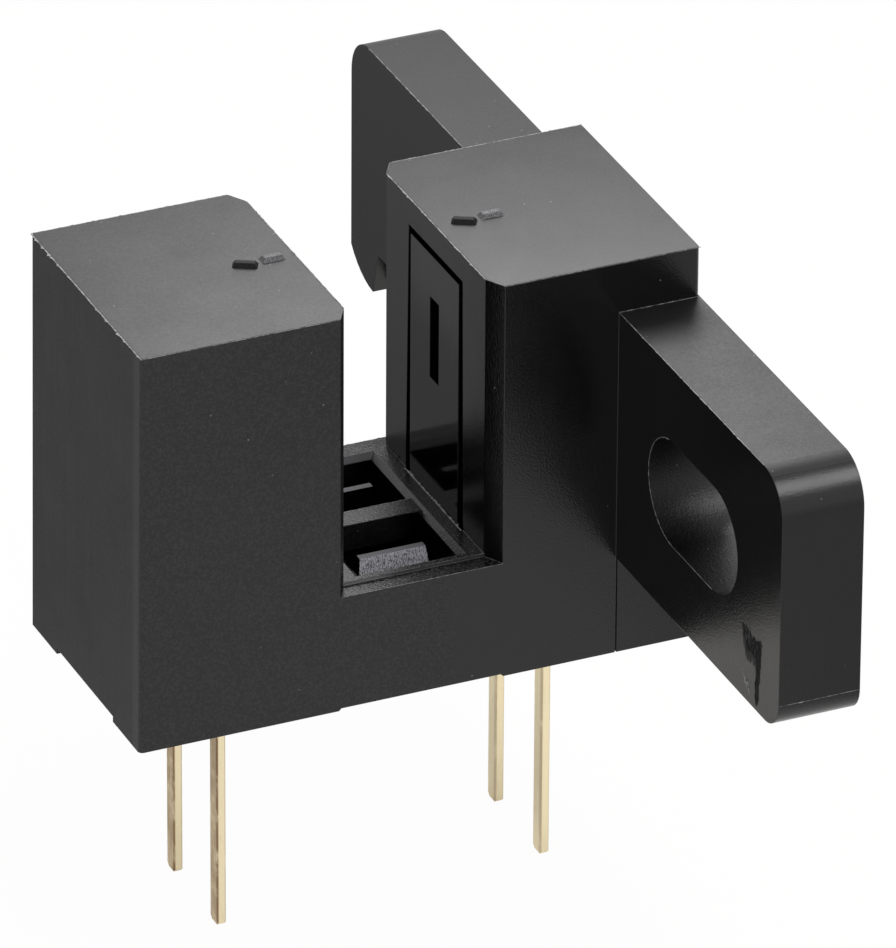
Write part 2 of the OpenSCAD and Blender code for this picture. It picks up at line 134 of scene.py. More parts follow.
class SwitchShapeSettings(bpy.types.PropertyGroup):
    """Places on the mouldings that the finishes and the moulded marks follow."""

    slot_x: length("Slot wall", "Place of the slot's walls along the beam", 1.7)
    mouth_x: length("Slot mouth", "Place of the slot's mouth edges along the beam", 1.97)
    mouth_y: length("Mouth bevel", "Place across the beam where the slot's mouth bevels start", 2.74)
    tower_x: length("Tower end", "Place of the towers' ends along the beam", COVER_HIGH.x / MM)
    tower_y: length("Tower side", "Place of the towers' front and rear faces", 3.2)
    tower_top: length("Tower top", "Height of the towers' tops", COVER_HIGH.z / MM)
    floor_z: length("Slot floor", "Height of the slot floor", 2.98)
    lip_drop: length("Lip drop", "How far the slot floor's lips lie below its rim", 0.08)
    notch_x: length("Rim notch", "Place of the notched rim's edge along the beam", 1.65)
    notch_y: length("Notch end", "Half the length of the notch in the rim", 1.6)
    rib_x: length("Cross rib end", "Half the length of the cross rib in the slot floor", 1.2)
    rib_y: length("Cross rib side", "Half the width of that rib", 0.3)
    rib_z: length("Cross rib top", "Height of that rib's top", 2.93)
    ear_x: length("Ear face", "Place of the ears' inner faces along the beam", 4.74)
    ear_y: length("Ear end", "Place of the ears' ends across the beam", COVER_HIGH.y / MM)
    ear_top: length("Ear top", "Height of the ears' top", 8.66)
    ear_corner: length("Ear corner", "Radius of the ears' upper corners", 1.0)
    hole_y: length("Hole", "Place of the ears' holes across the beam", 7.2)
    hole_z: length("Hole height", "Height of the middle of those holes", 5.55)
    hole_r: length("Hole radius", "Radius of their round ends", 1.3)
    hole_half: length("Hole half", "Half the length of their straight sides", 1.05)
    parting_z: length("Parting line", "Height of the parting line on the ears' ends", 3.14)
    base_top: length("Holder base", "Height of the top of the holder's base", 1.2)
    bar_x: length("Holder ribs", "Half the length of the holder's ribs under the floor windows", 1.0)


class SwitchFlashSettings(bpy.types.PropertyGroup):
    """The ragged moulding flash along the edges."""

    step: length("Step", "Distance from one tooth of the flash to the next", 0.05)
    foot: length("Foot", "Width of the flash on each of the two faces", 0.012)
    # This pale colour paints the glints along the flash.
    plastic: colour("Plastic", "Colour of the torn flash", (0.3, 0.3, 0.31))
    seed: bpy.props.IntProperty(name="Seed", description="Start of the random tooth heights", default=7)


class SwitchGateSettings(bpy.types.PropertyGroup):
    """The torn mark of the moulding gate, wide at its top and narrow at its bottom."""

    torn: colour("Torn plastic", "Colour on the grain of the torn plastic", (0.008, 0.008, 0.009))
    middle_y: length("Middle", "Place of the middle of the mark's top across the beam", -10.3)
    drift: length("Drift", "How far the mark runs outwards from its top to its bottom", 0.25)
    top_z: length("Top", "Height of the mark's top", 4.55)
    low_z: length("Bottom", "Height of the mark's bottom", 2.55)
    top_half: length("Top half", "Half the mark's width at its top", 0.6)
    low_half: length("Bottom half", "Half the mark's width at its bottom", 0.12)
    height: length("Height", "Height of the torn shreds above the ear's face", 0.02)
    shred: length("Shred", "Half the width of a wide shred", 0.06)
    dull_shine: share("Dull shine", "Shine of the dull layer under the tears", 0.27)
    torn_shine: share("Torn shine", "Shine of the tears", 0.12)
    seed: bpy.props.IntProperty(name="Seed", description="Start of the shreds' random places", default=3)


class SwitchHolderSettings(bpy.types.PropertyGroup):
    """Finish of the inner holder."""

    plastic: colour("Plastic", "Colour of the glossy black plastic", (0.0018, 0.0018, 0.002))
    rib: colour("Ribs", "Colour of the coarse ribs' tops under the floor windows", (0.13, 0.13, 0.14))
    scraped: colour("Scraped rib", "Colour of the front rib's scraped slope", (0.66, 0.65, 0.72))
    roughness: share("Roughness", "Roughness of the polished noses", 0.1)
    rib_roughness: share("Rib roughness", "Roughness of the coarse ribs", 0.5)
    grain: length("Rib grain", "Size of the grain on the ribs", 0.05)
    grain_depth: length("Rib grain depth", "Depth of that grain", 0.02)
    edge: length("Edge", "Radius of the moulded edges", 0.02)


class SwitchLeadSettings(bpy.types.PropertyGroup):
    """Finish of the plated leads."""

    plating: colour("Plating", "Colour of the pale gold plating", (0.91, 0.79, 0.53))
    # This colour also paints the shade on the lamp leads' outer faces, whose share is set below.
    tarnish: colour("Tarnish", "Colour of the tarnish along the front edges", (0.24, 0.115, 0.035))
    outer_face_shade: share("Dullness", "How far the lamp leads' outer faces are tarnished", 0.7)
    wear: length("Wear", "Reach of the tarnish from the front edges", 0.2)
    roughness: share("Roughness", "Roughness of the plating", 0.3)
    streak: length("Streak", "Width of the drawing streaks", 0.03)
    edge: length("Edge", "Radius of the stamped edges", 0.025)


class SwitchPackageSettings(bpy.types.PropertyGroup):
    """Finishes of the resin packages and of what they hold."""

    lamp_resin: colour("Lamp resin", "Colour of the lamp's clear resin", (0.72, 0.78, 0.86))
    lamp_clear: share("Clearness", "How clear the lamp's resin is", 0.9)
    sensor_resin: colour("Sensor resin", "Colour of the sensor's dark resin", (0.03, 0.02, 0.024))
    chip: colour("Chip", "Colour of the bare semiconductor", (0.28, 0.28, 0.32))
    chip_roughness: share("Chip roughness", "Roughness of the semiconductor", 0.3)
    wire: colour("Wire", "Colour of the gold bond wires", (0.9, 0.66, 0.22))
    wire_roughness: share("Wire roughness", "Roughness of the bond wires", 0.2)


class SwitchMarkSettings(bpy.types.PropertyGroup):
    """The raised bars that mark the optical axis on both towers."""

    bar_width: length("Bar width", "Width of a bar at its foot", 0.3)
    bar_height: length("Bar height", "Height of a bar above the tower's top", 0.1)
    level_length: length("Level bar", "Length of the bar along the optical axis", 0.58)
    slant_length: length("Slanted bar", "Length of the slanted bar", 0.6)
    slant: angle("Slant", "Turn of the slanted bar", -28)
    lamp_level_x: length("Lamp level bar", "Place of the lamp's level bar along the beam", -2.25)
    lamp_slant_x: length("Lamp slanted bar", "Place of the lamp's slanted bar along the beam", -2.92)
    sensor_level_x: length("Sensor level bar", "Place of the sensor's level bar along the beam", 3.03)
    sensor_slant_x: length("Sensor slanted bar", "Place of the sensor's slanted bar along the beam", 2.36)
    slant_y: length("Slanted bars", "Place of the slanted bars across the beam", -0.06)
    plastic: colour("Plastic", "Colour of the level bars' rough tops", (0.17, 0.17, 0.18))
    level_shine: share("Level shine", "Shine of the level bars", 0.5)
    slant_shine: share("Slanted shine", "Shine of the slanted bars", 0.15)


class SwitchStageSettings(bpy.types.PropertyGroup):
    """Floor, light and camera."""

    floor: colour("Floor", "Colour of the floor", (0.92, 0.9, 0.87))
    floor_size: length("Floor size", "Side of the square floor", 4000)
    white_share: share("White share", "How far the floor that the camera sees is lifted to white", 0.96)
    front_share: share("Front share", "How far reflections show the floor before the switch as white", 0.75)
    rear_share: share("Rear share", "How far reflections show the floor behind it as white", 0.26)
    fade_front: length("Fade front", "Place across the beam where the rear share starts to hold", -4)
    fade_rear: length("Fade rear", "Place across the beam from which the rear share holds", 2)
    left_card: colour("Left card", "Colour of the card that the lamp end's face reflects", (0.375,) * 3)
    left_card_x: length("Left card's side", "Place of that card's right side along the beam", -8.5)
    left_card_y: length("Left card's front", "Place of that card's front across the beam", 4)
    rear_card: colour("Rear card", "Colour of the card that the rear ear's face reflects", (0.24,) * 3)
    rear_card_x: length("Rear card's side", "Place of that card's right side along the beam", 14)
    rear_card_y: length("Rear card's front", "Place of that card's front across the beam", 12)
    front_card: colour("Front card", "Colour of the card that the front ear reflects", (0.66, 0.66, 0.67))
    front_card_x: length("Front card's side", "Place of that card's left side along the beam", 10.5)
    front_card_y: length("Front card's rear", "Place of that card's rear across the beam", -8)
    card_reach: length("Card reach", "How far out the cards' other sides lie", 150)
    card_lift: length("Card lift", "Height of the cards above the floor", 0.1)
    sky: level("Sky", "Strength of the even light from all round", 0.62)
    softbox: level("Softbox", "Radiance of the softbox behind the switch", 5.6)
    softbox_place: spot("Softbox place", "Place of that softbox", (14, 26, 38))
    softbox_size: length("Softbox size", "Side of that softbox", 20)
    key: level("Key", "Radiance of the key light above the front", 4.6)
    key_place: spot("Key place", "Place of the key light", (66, -94, 166))
    key_size: length("Key size", "Side of the key light", 100)
    azimuth: angle("Azimuth", "Turn of the camera about the upright axis", -23.863)
    elevation: angle("Elevation", "Height of the camera above the horizon", 28.9665)
    roll: angle("Roll", "Tilt of the camera about its own axis", 0.3582)
    distance: length("Distance", "Distance of the camera from the point that it aims at", 282.697)
    aim_x: length("Aim X", "Place of that point along the beam", 2.0337)
    aim_z: length("Aim Z", "Height of that point above the board", 3.5356)
    focal: bpy.props.FloatProperty(
        name="Focal length", description="Focal length of the lens", default=478.032, unit="CAMERA"
    )


class Shade:
    """An output socket with arithmetic: each operator adds one Math node to the same tree."""

    def __init__(self, nodes, node, key=0):
        self.nodes = nodes
        self.node = node
        self.key = key

    def output(self, key):
        """Another output of the same node."""
        return Shade(self.nodes, self.node, key)

    def feed(self, socket):
        """Links this output to another node's input."""
        self.nodes.tree.links.new(self.node.outputs[self.key], socket)

    def math(self, operation, *values):
        return self.nodes.add("ShaderNodeMath", {"operation": operation}, dict(enumerate(values)))

    def __add__(self, other):
        return self.math("ADD", self, other)

    def __radd__(self, other):
        return self.math("ADD", other, self)

    def __sub__(self, other):
        return self.math("SUBTRACT", self, other)

    def __rsub__(self, other):
        return self.math("SUBTRACT", other, self)

    def __mul__(self, other):
        return self.math("MULTIPLY", self, other)

    def __rmul__(self, other):
        return self.math("MULTIPLY", other, self)

    def __abs__(self):
        return self.math("ABSOLUTE", self)

    def __gt__(self, other):
        return self.math("GREATER_THAN", self, other)

    def __lt__(self, other):
        return self.math("LESS_THAN", self, other)

    def most(self, other):
        return self.math("MAXIMUM", self, other)

    def least(self, other):
        return self.math("MINIMUM", self, other)

    def smooth(self, low, high):
        """0 below low, 1 above high and an even slope between them."""
        return self.nodes.add(
            "ShaderNodeMapRange",
            {"interpolation_type": "SMOOTHSTEP"},
            {"Value": self, "From Min": low, "From Max": high},
        )

    def within(self, low, high, soft):
        """1 between low and high, falling to 0 over the soft margin outside."""
        return self.smooth(low - soft, low) * (1 - self.smooth(high, high + soft))


class Nodes:
    """Adds nodes to one tree."""

    def __init__(self, tree):
        self.tree = tree
        self.tree.nodes.clear()

    def add(self, kind, settings=None, sockets=None, output=0):
        """Adds a node: its settings first, then the values or links of its sockets."""
        made = self.tree.nodes.new(kind)
        for key, value in (settings or {}).items():
            setattr(made, key, value)
        for key, value in (sockets or {}).items():
            if isinstance(value, Shade):
                value.feed(made.inputs[key])
            else:
                made.inputs[key].default_value = value
        return Shade(self, made, output)

    def vector(self, operation, first, second):
        """Vector maths on two vectors. A dot product comes back as a number."""
        output = "Value" if operation == "DOT_PRODUCT" else "Vector"
        return self.add("ShaderNodeVectorMath", {"operation": operation}, {0: first, 1: second}, output)

    def place(self):
        """Place on the part, in millimetres of the part's own frame."""
        metres = self.add("ShaderNodeTexCoord", output="Object")
        return self.vector("MULTIPLY", metres, (1 / MM,) * 3)

    def facing(self):
        """The direction that a face looks in."""
        return self.add("ShaderNodeNewGeometry", output="True Normal")

    def split(self, vector):
        x = self.add("ShaderNodeSeparateXYZ", sockets={"Vector": vector})
        return x, x.output("Y"), x.output("Z")

    def noise(self, place, size, detail=2.0, roughness=0.5):
        """Noise whose features have that size, in metres."""
        return self.add(
            "ShaderNodeTexNoise",
            sockets={"Vector": place, "Scale": MM / size, "Detail": detail, "Roughness": roughness},
        )

    def specks(self, place, spacing, radius, keep):
        """Round specks of about that radius, at a share of the points of a loose grid."""
        cell = self.add("ShaderNodeTexVoronoi", sockets={"Vector": place, "Scale": MM / spacing})
        chosen = self.split(cell.output("Color"))[0] < keep
        return chosen * (1 - cell.smooth(0.6 * radius / spacing, radius / spacing))

    def mix(self, factor, first, second):
        """A colour between two colours."""
        first, second = (c if isinstance(c, Shade) else (*c, 1.0) for c in (first, second))
        return self.add("ShaderNodeMix", {"data_type": "RGBA"}, {0: factor, 6: first, 7: second}, 2)

    def rounded(self, radius):
        """The surface's normal, turned as if its edges had that radius."""
        return self.add("ShaderNodeBevel", {"samples": 6}, {"Radius": radius})

    def bump(self, height, depth, normal):
        """The normal of a relief of that depth."""
        return self.add(
            "ShaderNodeBump",
            sockets={"Height": height, "Distance": depth, "Strength": 1.0, "Normal": normal},
        )

    def surface(self, **sockets):
        """The material's own shader. A keyword is a socket's name with _ for a space."""
        named = {key.replace("_", " "): value for key, value in sockets.items()}
        shader = self.add("ShaderNodeBsdfPrincipled", sockets=named)
        self.add("ShaderNodeOutputMaterial", sockets={"Surface": shader})


def new_finish(name):
    """A material and the builder of its nodes."""
    material = bpy.data.materials.new(name)
    material.use_nodes = True
    return material, Nodes(material.node_tree)


def solid(rgb):
    """A colour with its alpha, for a shader's own socket."""
    return (*rgb, 1.0)


def dress(node, material):
    """Gives a CAD node its finish."""
    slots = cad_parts[node].data.materials
    slots.clear()
    slots.append(material)


def shank(lead):
    """Opposite corners of a lead's part below the board, in millimetres."""
    points = [vertex.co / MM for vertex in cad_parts[lead].data.vertices if vertex.co.z < 0]
    return [Vector(map(pick, zip(*points))) for pick in (min, max)]


def cover_finish(s, shape):
    material, n = new_finish("cover_plastic_satin")
    slot, floor, ear_top = (part / MM for part in (shape.slot_x, shape.floor_z, shape.ear_top))
    end, side_face, mouth = (part / MM for part in (shape.tower_x, shape.tower_y, shape.mouth_y))
    hole_y, hole_z, hole_r = (part / MM for part in (shape.hole_y, shape.hole_z, shape.hole_r + HOLE_MARGIN))
    hole_end = hole_r + shape.hole_half / MM
    above_ears = (ear_top + shape.tower_top / MM) / 2
    place = n.place()
    x, y, z = n.split(place)
    along, across, rise = n.split(n.facing())
    up = rise.smooth(0.5, 0.8)
    top = rise.smooth(0.86, 0.97) * z.smooth(ear_top - 0.66, ear_top - 0.16)
    grid = up * (1 - z.smooth(floor + 0.02, floor + 0.12))
    bore = abs(y).within(hole_y - hole_end, hole_y + hole_end, 0.02) * (abs(along) < 0.5)
    bore = bore * z.within(hole_z - hole_r, hole_z + hole_r, 0.02)
    # Painted highlight: the slot floor's front-facing lips and rear slope are lifted toward the pale speck
    # colour, less on the front lip's right part.
    painted_ledge_sheen = (abs(x) < slot + 0.02) * abs(y).within(mouth - 0.74, mouth + 0.26, 0.01) * (across < -0.3)
    painted_ledge_sheen = painted_ledge_sheen * z.within(floor - 0.14, floor + 0.005, 0.01)
    painted_ledge_sheen = painted_ledge_sheen * (1 - (y < 0) * x.smooth(-1.0, -0.3) * 0.75)
    sensor_end = x.smooth(0.4, 1.2)
    cloud = n.noise(place, 1.3 * MM, 3.0)
    grain = n.noise(place, s.grain, 2.0, 0.6)
    drag = n.noise(n.vector("MULTIPLY", place, (1, 1, 0.05)), 0.14 * MM, 2.0)
    rounded = n.rounded(s.edge)
    specks = n.specks(place, 0.3 * MM, 0.026 * MM, 0.14)
    fleck = n.noise(place, 0.07 * MM, 3.0, 0.65).smooth(0.42, 0.64) * (1 - sensor_end * 0.9)
    scuff = grid * n.noise(place, 0.06 * MM, 3.0, 0.7).smooth(0.52, 0.66) * 0.6
    # Painted highlight: a pale band on the lamp end's outer face along its front edge.
    painted_edge_sheen = (along < -0.9) * (x < 0.2 - end) * (1 - y.smooth(0.32 - side_face, 0.52 - side_face)) * 0.2
    plastic = n.mix(fleck, s.plastic, s.plastic_pale)
    plastic = n.mix(scuff.most(painted_edge_sheen), plastic, s.scuff)
    side = s.lamp_roughness + sensor_end * (s.sensor_roughness - s.lamp_roughness)
    flat = side + top * (s.top_roughness - side) + grid * (s.floor_roughness - side)
    flat = flat + bore * (s.bore_roughness - side)
    flat = flat + top * (z > above_ears) * y * (1 + 2 * sensor_end) * s.top_slope
    coarse = (0.4 + sensor_end * 0.6) * (1 - top * 0.6) + grid + bore
    n.surface(
        # Base colour: pale specks, and the painted highlight on the slot floor's lips and rear slope.
        Base_Color=n.mix((specks * 0.5).most(painted_ledge_sheen * 0.7), plastic, s.speck_and_ledge_sheen),
        Roughness=flat + (cloud - 0.5) * 0.1 + (drag - 0.5) * 0.06 + top * (grain - 0.5) * 0.3,
        IOR=1.5,
        Specular_IOR_Level=0.46,
        Normal=n.bump(grain * coarse, s.grain_depth, rounded),
    )
    return material


def holder_finish(s, shape):
    material, n = new_finish("holder_plastic_polished")
    base, bar = shape.base_top / MM, shape.bar_x / MM
    place = n.place()
    x, y, z = n.split(place)
    _, across, rise = n.split(n.facing())
    scrape = (y < 0) * (across < -0.5)
    rib = (1 - abs(x).smooth(bar + 0.05, bar + 0.1)) * z.smooth(base + 0.05, base + 0.15)
    rib = rib * scrape.most(rise > 0.5)
    scratch = n.noise(n.vector("MULTIPLY", place, (1, 0.7, 0.5)), 0.6 * s.grain, 3.0, 0.7)
    grain = n.noise(place, s.grain, 2.0, 0.7)
    drag = n.noise(n.vector("MULTIPLY", place, (1, 1, 0.03)), 0.1 * MM, 2.0)
    cloud = n.noise(place, 0.9 * MM, 2.0)
    rounded = n.rounded(s.edge)
    torn = n.mix(scrape, s.rib, s.scraped)
    coarse = n.mix(scratch.smooth(0.38, 0.58), s.rib, torn)
    uneven = (drag - 0.5) * 0.12 + (cloud - 0.5) * 0.06
    n.surface(
        Base_Color=n.mix(rib, s.plastic, coarse),
        Roughness=s.roughness + uneven + rib * (s.rib_roughness - s.roughness),
        IOR=1.5,
        Specular_IOR_Level=0.38,
        Normal=n.bump(grain * rib, s.grain_depth, rounded),
    )
    return material


def lead_finish(s, lead, tarnished):
    """Plating that is brown along the front edges; on a lamp lead the outer faces are darkened too, which is
    painted shade.
    """
    material, n = new_finish(lead + "_pale_gold")
    place = n.place()
    x, y, _ = n.split(place)
    along, across, _ = n.split(n.facing())
    low, high = shank(lead)
    streak = n.noise(n.vector("MULTIPLY", place, (1, 1, 0.04)), s.streak, 3.0, 0.6)
    blotch = n.noise(place, 0.5 * MM, 3.0, 0.6)
    reach = s.wear / MM
    side_edge = (abs(along) > 0.5) * (1 - (y - low.y).smooth(0.4 * reach, reach))
    front_edge = (across < -0.5) * (1 - (x - low.x).least(high.x - x).smooth(0, 0.15 * reach)) * 0.6
    worn = side_edge.most(front_edge) * blotch.smooth(0.2, 0.5) * (0.4 + 0.6 * tarnished)
    # Painted shade: the lamp leads' outer faces are darkened toward the tarnish colour.
    dull = (along < -0.5) * (streak + blotch).smooth(0.4, 1.2) * (s.outer_face_shade * tarnished)
    stain = worn.most(dull).most((streak * blotch).smooth(0.3, 0.48) * 0.25)
    n.surface(
        Base_Color=n.mix(stain * 0.95, s.plating, s.tarnish),
        Metallic=1.0,
        Roughness=s.roughness + (streak - 0.5) * 0.18 + stain * 0.15,
        Normal=n.bump(streak, 0.0015 * MM, n.rounded(s.edge)),
    )
    return material


def resin_finish(name, tint, clear):
    """Moulded resin, clear or dark, with faint flow lines."""
    material, n = new_finish(name)
    place = n.place()
    flow = n.noise(place, 0.8 * MM, 3.0)
    n.surface(
        Base_Color=n.mix(flow.smooth(0.3, 0.7), tint, [0.8 * part for part in tint]),
        Roughness=0.06 + (flow - 0.5) * 0.06,
        IOR=1.55,
        Transmission_Weight=clear,
    )
    return material


def metal_finish(name, tint, roughness):
    """Bare bright metal or semiconductor with a fine uneven grain."""
    material, n = new_finish(name)
    place = n.place()
    grain = n.noise(place, 0.03 * MM, 2.0)
    n.surface(
        Base_Color=n.mix(grain.smooth(0.3, 0.7), tint, [0.75 * part for part in tint]),
        Metallic=1.0,
        Roughness=roughness + (grain - 0.5) * 0.2,
    )
    return material


def mark_finish(name, tint, cover, shine):
    """Rough moulded plastic of that shine, which shows a paler tint on its grain."""
    material, n = new_finish(name)
    place = n.place()
    grain = n.noise(place, 0.03 * MM, 3.0, 0.7)
    n.surface(
        Base_Color=n.mix(grain.smooth(0.35, 0.6), cover.plastic, tint),
        Roughness=0.5 + (grain - 0.5) * 0.3,
        IOR=1.5,
        Specular_IOR_Level=shine,
        Normal=n.bump(grain, 0.008 * MM, n.rounded(0.02 * MM)),
    )
    return material


def flash_glint_finish(s):
    """Flash in a pale colour that paints the glints along the edges, uneven in patches."""
    material, n = new_finish("flash_painted_glint")
    place = n.place()
    glint_patches = n.noise(place, 0.12 * MM, 3.0, 0.7)
    n.surface(
        Base_Color=n.mix(glint_patches.smooth(0.35, 0.6), [0.2 * part for part in s.plastic], s.plastic),
        Roughness=0.55 + (glint_patches - 0.5) * 0.2,
        IOR=1.5,
        Specular_IOR_Level=0.5,
    )
    return material


def new_piece(name, shape):
    """Turns a bmesh into a piece that rides on the part."""
    mesh = bpy.data.meshes.new(name)
    shape.to_mesh(mesh)
    shape.free()
    piece = bpy.data.objects.new(name, mesh)
    bpy.context.scene.collection.objects.link(piece)
    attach(piece, BODY)
    return piece


def add_ridge(shape, centre, long, wide, high, turn):
    """Adds a low ridge with sloping sides and ends, its foot sunk a little into the face below."""
    sunk = 0.2 * high
    crest = 0.5
    foot = [(-0.5, -0.5), (0.5, -0.5), (0.5, 0.5), (-0.5, 0.5)]
    spin = Matrix.Translation(centre) @ Matrix.Rotation(turn, 4, "Z")
    crest_long = long - wide * (1 - crest)
    low = [shape.verts.new(spin @ Vector((u * long, v * wide, -sunk))) for u, v in foot]
    high_ring = [shape.verts.new(spin @ Vector((u * crest_long, v * wide * crest, high))) for u, v in foot]
    shape.faces.new(reversed(low))
    shape.faces.new(high_ring)
    for i in range(len(foot)):
        j = (i + 1) % len(foot)
        shape.faces.new((low[i], low[j], high_ring[j], high_ring[i]))


def round_off(shape, radius):
    """Rounds every edge of a small shape."""
    bmesh.ops.bevel(
        shape, geom=list(shape.edges), offset=radius, segments=2, profile=0.5, affect="EDGES"
    )
    bmesh.ops.recalc_face_normals(shape, faces=list(shape.faces))


def add_fin(shape, ends, normals, convex, height, lean, s, chance):
    """Adds a ragged fin of flash along an edge of two faces. It leans towards the first one's normal."""
    start, stop = (Vector(end) for end in ends)
    first, second = (Vector(normal).normalized() for normal in normals)
    side = -1 if convex else 1
    tip = (first * (1 + lean) + second * (1 - lean)).normalized()
    sunk = tip * -0.25 * s.foot
    feet = (start.copy() + second * side * s.foot + sunk, start.copy() + first * side * s.foot + sunk)
    count = max(2, round((stop - start).length / s.step))
    rings = []
    for i in range(count + 1):
        along = (stop - start) * (i / count)
        tooth = height * (0.25 + 0.35 * chance.random())
        if chance.random() < 0.12:
            tooth = height * (0.8 + 0.6 * chance.random())
        if i in (0, count):
            tooth *= 0.2
        sway = (stop - start).normalized() * s.step * 0.3 * (chance.random() - 0.5)
        ring = [shape.verts.new(foot + along) for foot in feet]
        ring.append(shape.verts.new(start + along + sway + tip * tooth))
        rings.append(ring)
    for here, following in zip(rings, rings[1:]):
        for a, b in ((0, 1), (1, 2), (2, 0)):
            shape.faces.new((here[a], here[b], following[b], following[a]))
    shape.faces.new(rings[0])
    shape.faces.new(rings[-1])


def add_sliver(shape, start, stop, normal, half, height):
    """Adds a pointed sliver that lies on a face, highest in its middle."""
    across = normal.cross(stop - start).normalized() * half
    middle = (start + stop) / 2
    around = [shape.verts.new(point) for point in (start, middle - across, stop, middle + across)]
    peak = shape.verts.new(middle + normal * height)
    shape.faces.new(around)
    for i in range(len(around)):
        shape.faces.new((around[i - 1], around[i], peak))


class SWITCH_OT_dress_cover(bpy.types.Operator):
    """Gives the cover its satin black moulded finish"""

    bl_idname = "switch.dress_cover"
    bl_label = "Dress cover"

    def execute(self, context):
        dress("cover", cover_finish(context.scene.switch_cover, context.scene.switch_shape))
        return {"FINISHED"}


class SWITCH_OT_dress_holder(bpy.types.Operator):
    """Gives the inner holder its polished finish and coarse ribs"""

    bl_idname = "switch.dress_holder"
    bl_label = "Dress holder"

    def execute(self, context):
        dress("holder", holder_finish(context.scene.switch_holder, context.scene.switch_shape))
        return {"FINISHED"}


class SWITCH_OT_dress_leads(bpy.types.Operator):
    """Gives the leads their pale gold plating"""

    bl_idname = "switch.dress_leads"
    bl_label = "Dress leads"

    def execute(self, context):
        for lead in LEADS:
            dress(lead, lead_finish(context.scene.switch_leads, lead, lead.startswith("lamp")))
        return {"FINISHED"}


class SWITCH_OT_dress_packages(bpy.types.Operator):
    """Gives the resin packages, the chips and the bond wires their finishes"""

    bl_idname = "switch.dress_packages"
    bl_label = "Dress packages"

    def execute(self, context):
        s = context.scene.switch_packages
        dress("lamp_package", resin_finish("lamp_clear_resin", s.lamp_resin, s.lamp_clear))
        dress("sensor_package", resin_finish("sensor_dark_resin", s.sensor_resin, 0.0))
        chip = metal_finish("chip_semiconductor", s.chip, s.chip_roughness)
        wire = metal_finish("wire_bright_gold", s.wire, s.wire_roughness)
        for end in ("lamp", "sensor"):
            dress(end + "_chip", chip)
            dress(end + "_wire", wire)
        return {"FINISHED"}


class SWITCH_OT_add_axis_marks(bpy.types.Operator):
    """Raises the bars that mark the optical axis on both towers"""

    bl_idname = "switch.add_axis_marks"
    bl_label = "Add axis marks"

    def execute(self, context):
        s = context.scene.switch_marks
        cover = context.scene.switch_cover
        rough = mark_finish("mark_rough_plastic", s.plastic, cover, s.level_shine)
        dark = mark_finish("mark_dark_plastic", cover.plastic_pale, cover, s.slant_shine)
        top = COVER_HIGH.z
        ends = {"lamp": (s.lamp_level_x, s.lamp_slant_x), "sensor": (s.sensor_level_x, s.sensor_slant_x)}
        for end, (level_x, slant_x) in ends.items():
            self.add_bar(end + "_level_mark", s, (level_x, 0, top), s.level_length, 0, rough)
            self.add_bar(end + "_slant_mark", s, (slant_x, s.slant_y, top), s.slant_length, s.slant, dark)
        return {"FINISHED"}

    def add_bar(self, name, s, centre, long, turn, finish):
        shape = bmesh.new()
        add_ridge(shape, centre, long, s.bar_width, s.bar_height, turn)
        round_off(shape, 0.15 * s.bar_height)
        new_piece(name, shape).data.materials.append(finish)


